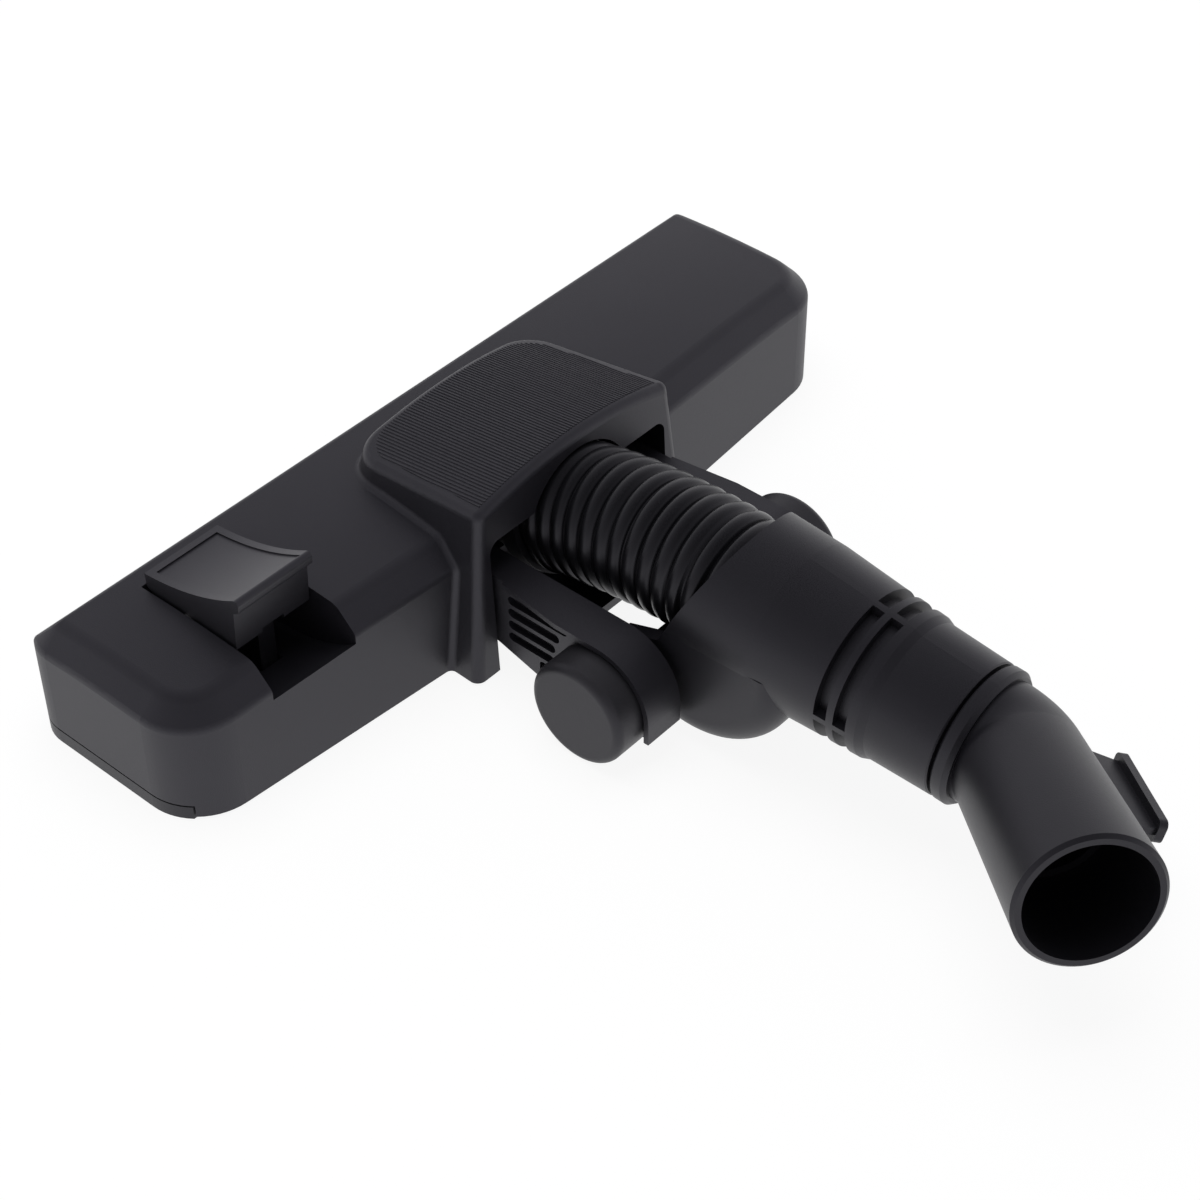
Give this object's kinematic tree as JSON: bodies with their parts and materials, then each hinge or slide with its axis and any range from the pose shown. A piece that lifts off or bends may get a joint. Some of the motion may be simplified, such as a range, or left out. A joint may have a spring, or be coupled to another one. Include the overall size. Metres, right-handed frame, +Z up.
{
  "type": "vacuum floor brush head",
  "caption": "Wide black vacuum floor head with a foot pedal that lowers its brushes, a wheeled rear fork, a corrugated hose, a tilting neck and a swivel elbow with a round wand socket",
  "frame": {"origin": "middle of the head on the floor side of the sole plate, which rests on the floor at z = 0", "axes": "X along the head towards the right wing, Y towards the front edge, Z up from the floor"},
  "size_m": [0.282, 0.2997, 0.067],
  "materials": {
    "housing_black": "fine grained black moulding",
    "sole_black": "smooth black moulding",
    "pedal_black": "satin black moulding",
    "wheel_grey": "satin dark grey moulding",
    "hose_black": "glossy flexible black",
    "rubber_black": "soft matte rubber",
    "bristle_dark": "dark nylon bristle",
    "lint_fabric": "short pile fabric",
    "pin_steel": "plain steel"
  },
  "bodies": {
    "head": {"upper_housing": "housing_black", "sole_plate": "sole_black", "suction_duct": "sole_black", "hose_front_collar": "sole_black", "pedal_axle": "pin_steel", "fork_pin_left": "pin_steel", "fork_pin_right": "pin_steel", "lint_strip_left": "lint_fabric", "lint_strip_right": "lint_fabric", "sole_screw_1": "pin_steel", "sole_screw_2": "pin_steel", "sole_screw_3": "pin_steel", "sole_screw_4": "pin_steel"},
    "brush": {"brush_frame": "sole_black", "front_bristles": "bristle_dark", "rear_bristles": "bristle_dark", "rubber_lip": "rubber_black"},
    "pedal": {"pedal": "pedal_black"},
    "fork": {"fork": "housing_black", "axle_left": "pin_steel", "axle_right": "pin_steel", "hose": "hose_black"},
    "wheel_left": {"wheel_left": "wheel_grey"},
    "wheel_right": {"wheel_right": "wheel_grey"},
    "neck": {"neck": "housing_black", "hose_rear_collar": "sole_black"},
    "elbow": {"elbow": "housing_black"}
  },
  "joints": [
    {"name": "pedal_rock", "type": "hinge", "parent": "head", "child": "pedal", "pos_m": [-0.09575, -0.01, 0.04], "axis": [1, 0, 0], "range_deg": [0, 20.25]},
    {"name": "brush_drop", "type": "slide", "parent": "head", "child": "brush", "axis": [0, 0, -1], "range_m": [0, 0.005]},
    {"name": "fork_lift", "type": "hinge", "parent": "head", "child": "fork", "pos_m": [0, -0.053, 0.025], "axis": [-1, 0, 0], "range_deg": [0, 10], "deforming": ["hose"]},
    {"name": "wheel_left_spin", "type": "hinge", "parent": "fork", "child": "wheel_left", "pos_m": [-0.0442, -0.1, 0.0165], "axis": [1, 0, 0], "continuous": true},
    {"name": "wheel_right_spin", "type": "hinge", "parent": "fork", "child": "wheel_right", "pos_m": [0.0442, -0.1, 0.0165], "axis": [1, 0, 0], "continuous": true},
    {"name": "neck_tilt", "type": "hinge", "parent": "fork", "child": "neck", "pos_m": [0, -0.1, 0.0165], "axis": [-1, 0, 0], "range_deg": [0, 60], "deforming": ["hose"]},
    {"name": "elbow_swivel", "type": "hinge", "parent": "neck", "child": "elbow", "pos_m": [0, -0.1968, 0.0362], "axis": [0, -0.9976, -0.0698], "continuous": true}
  ],
  "couplings": [
    {"joint": "brush_drop", "follows": "pedal_rock", "m_per_rad": 0.014147}
  ]
}
